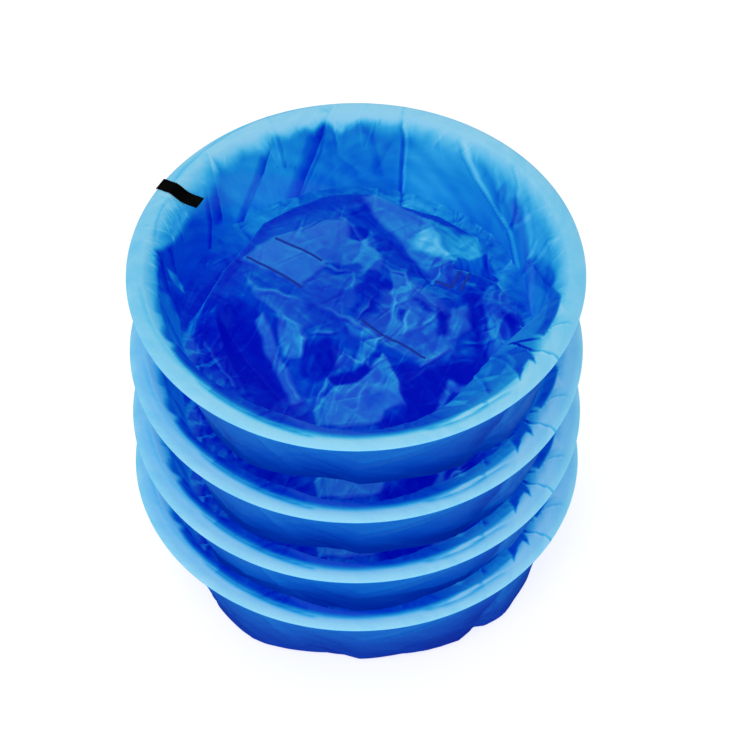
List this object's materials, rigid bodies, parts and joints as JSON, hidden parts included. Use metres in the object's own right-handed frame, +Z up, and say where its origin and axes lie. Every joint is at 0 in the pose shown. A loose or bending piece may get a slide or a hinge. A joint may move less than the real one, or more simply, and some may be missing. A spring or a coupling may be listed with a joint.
{
  "type": "disposable film-lined bedpan stack",
  "caption": "Nested stack of round disposable basins, each a rigid ring holding a gathered blue film bag, with a fold-over closure tie on the rim.",
  "frame": {"origin": "centre of the bottom unit's base, on the surface the stack stands on", "axes": "+Z up along the axis of the rings; +X to the right and -Y towards the front of the stack; the closure ties are at the left rear, 150 degrees anticlockwise from +X"},
  "size_m": [0.16, 0.16, 0.1428],
  "materials": {
    "ring_plastic": "satin",
    "cuff_film": "gloss",
    "bag_film": "gloss",
    "gathered_film": "gloss",
    "weld_film": "satin",
    "print_ink": "matte",
    "tie_black": "matte"
  },
  "bodies": {
    "unit_1": {"collar_ring_1": "ring_plastic", "film_cuff_1": "cuff_film", "hem_weld_1": "weld_film", "outer_film_1": "bag_film", "liner_wall_1": "bag_film", "gathered_film_1": "gathered_film", "bottom_seal_1": "weld_film", "volume_scale_1": "print_ink", "tie_anchor_1": "tie_black"},
    "tie_1": {"tie_tail_1": "tie_black"},
    "unit_2": {"collar_ring_2": "ring_plastic", "film_cuff_2": "cuff_film", "hem_weld_2": "weld_film", "outer_film_2": "bag_film", "liner_wall_2": "bag_film", "gathered_film_2": "gathered_film", "bottom_seal_2": "weld_film", "volume_scale_2": "print_ink", "tie_anchor_2": "tie_black"},
    "tie_2": {"tie_tail_2": "tie_black"},
    "unit_3": {"collar_ring_3": "ring_plastic", "film_cuff_3": "cuff_film", "hem_weld_3": "weld_film", "outer_film_3": "bag_film", "liner_wall_3": "bag_film", "gathered_film_3": "gathered_film", "bottom_seal_3": "weld_film", "volume_scale_3": "print_ink", "tie_anchor_3": "tie_black"},
    "tie_3": {"tie_tail_3": "tie_black"},
    "unit_4": {"collar_ring_4": "ring_plastic", "film_cuff_4": "cuff_film", "hem_weld_4": "weld_film", "outer_film_4": "bag_film", "liner_wall_4": "bag_film", "gathered_film_4": "gathered_film", "bottom_seal_4": "weld_film", "volume_scale_4": "print_ink", "tie_anchor_4": "tie_black"},
    "tie_4": {"tie_tail_4": "tie_black"}
  },
  "joints": [
    {"name": "lift_2", "type": "slide", "parent": "unit_1", "child": "unit_2", "axis": [0, 0, 1], "range_m": [0, 0.1]},
    {"name": "lift_3", "type": "slide", "parent": "unit_2", "child": "unit_3", "axis": [0, 0, 1], "range_m": [0, 0.1]},
    {"name": "lift_4", "type": "slide", "parent": "unit_3", "child": "unit_4", "axis": [0, 0, 1], "range_m": [0, 0.1]},
    {"name": "tie_turn_1", "type": "hinge", "parent": "unit_1", "child": "tie_1", "pos_m": [-0.06495, 0.0375, 0.0427], "axis": [-0.5, -0.866, 0], "range_deg": [0, 150]},
    {"name": "tie_turn_2", "type": "hinge", "parent": "unit_2", "child": "tie_2", "pos_m": [-0.06495, 0.0375, 0.0703], "axis": [-0.5, -0.866, 0], "range_deg": [0, 150]},
    {"name": "tie_turn_3", "type": "hinge", "parent": "unit_3", "child": "tie_3", "pos_m": [-0.06495, 0.0375, 0.1039], "axis": [-0.5, -0.866, 0], "range_deg": [0, 150]},
    {"name": "tie_turn_4", "type": "hinge", "parent": "unit_4", "child": "tie_4", "pos_m": [-0.06495, 0.0375, 0.1429], "axis": [-0.5, -0.866, 0], "range_deg": [0, 150]}
  ]
}
